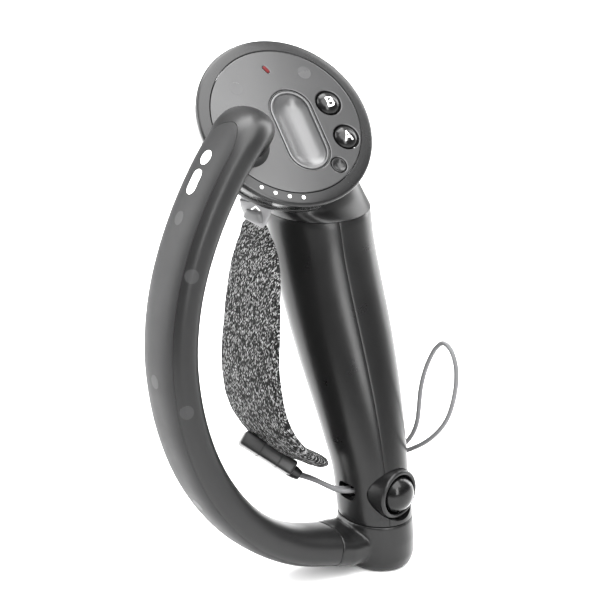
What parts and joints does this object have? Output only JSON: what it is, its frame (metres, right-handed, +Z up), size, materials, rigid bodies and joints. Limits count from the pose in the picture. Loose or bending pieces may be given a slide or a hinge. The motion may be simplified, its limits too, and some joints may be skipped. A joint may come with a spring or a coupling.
{
  "type": "vr motion controller",
  "caption": "Left-hand tracked motion controller with a tilted face plate, an arched tracking ring, a padded hand strap and a handle that stands in a dock.",
  "frame": {"origin": "centre of the pommel's flat dock face", "axes": "+Z up the controller from its dock face, -Y towards the user, -X towards the tracking ring"},
  "size_m": [0.0952, 0.0978, 0.1666],
  "materials": {
    "shell": "satin",
    "face": "satin",
    "rim": "satin",
    "gloss": "polished",
    "window": "satin",
    "white": "satin",
    "led": "translucent lens",
    "fabric": "marled knit",
    "cord": "braided",
    "steel": "bright",
    "gold": "plated",
    "board": "solder mask",
    "cell": "wrapped pouch"
  },
  "bodies": {
    "controller": {"face_plate": "face", "position_dot_1": "white", "position_dot_2": "white", "position_dot_3": "white", "position_dot_4": "white", "face_rim": "rim", "status_led": "led", "face_window_1": "window", "face_window_2": "window", "trackpad": "face", "trackpad_trim": "gloss", "force_sensor": "gold", "switch_a": "steel", "switch_b": "steel", "switch_system": "steel", "main_board": "board", "slider_rail": "rim", "head_shell": "shell", "trigger_pin": "steel", "trigger_frame": "gloss", "trigger_spring": "steel", "strap_pad": "fabric", "cord_guide": "gloss", "drawcord_strand_1": "cord", "drawcord_strand_2": "cord", "drawcord_loop": "cord", "grip_shell_left": "shell", "grip_shell_right": "shell", "battery": "cell", "haptic_motor": "steel", "pommel_housing": "shell", "usb_shell": "steel", "usb_tongue": "gloss", "dock_contact_1": "gold", "dock_contact_2": "gold", "pommel_screw": "steel", "cord_lock_bezel": "shell", "cord_lock_frame": "shell", "cord_lock_spring": "steel", "ring_outer_shell": "shell", "ring_inner_shell": "shell", "ring_flex_board": "board", "ring_sensor_1": "gloss", "ring_sensor_2": "gloss", "ring_sensor_3": "gloss", "ring_sensor_4": "gloss", "ring_root": "shell", "ring_mark": "white"},
    "strap_carriage": {"strap_slider": "rim", "slider_arrow": "white", "strap_web": "rim"},
    "trigger_lever": {"trigger": "shell"},
    "a_key": {"button_a": "gloss"},
    "b_key": {"button_b": "gloss"},
    "system_key": {"system_button": "rim"},
    "lock_key": {"cord_lock_button": "gloss"}
  },
  "joints": [
    {"name": "strap_position", "type": "hinge", "parent": "controller", "child": "strap_carriage", "pos_m": [-0.0135, 0.035, 0.146], "axis": [0, -0.6997, 0.7145], "range_deg": [0, 30]},
    {"name": "trigger_pull", "type": "hinge", "parent": "controller", "child": "trigger_lever", "pos_m": [-0.007, 0.0545, 0.143], "axis": [-1, 0, 0], "range_deg": [0, 14], "stiffness_Nm_per_rad": 0.05, "springref_deg": -4.58},
    {"name": "button_a_press", "type": "slide", "parent": "controller", "child": "a_key", "axis": [0, 0.6997, -0.7145], "range_m": [0, 0.001], "stiffness_N_per_m": 400, "springref_m": -0.0005},
    {"name": "button_b_press", "type": "slide", "parent": "controller", "child": "b_key", "axis": [0, 0.6997, -0.7145], "range_m": [0, 0.001], "stiffness_N_per_m": 400, "springref_m": -0.0005},
    {"name": "system_press", "type": "slide", "parent": "controller", "child": "system_key", "axis": [0, 0.6997, -0.7145], "range_m": [0, 0.0006], "stiffness_N_per_m": 400, "springref_m": -0.0005},
    {"name": "cord_lock_press", "type": "slide", "parent": "controller", "child": "lock_key", "axis": [-0.2419, 0.9703, 0], "range_m": [0, 0.0025], "stiffness_N_per_m": 500, "springref_m": -0.001}
  ]
}
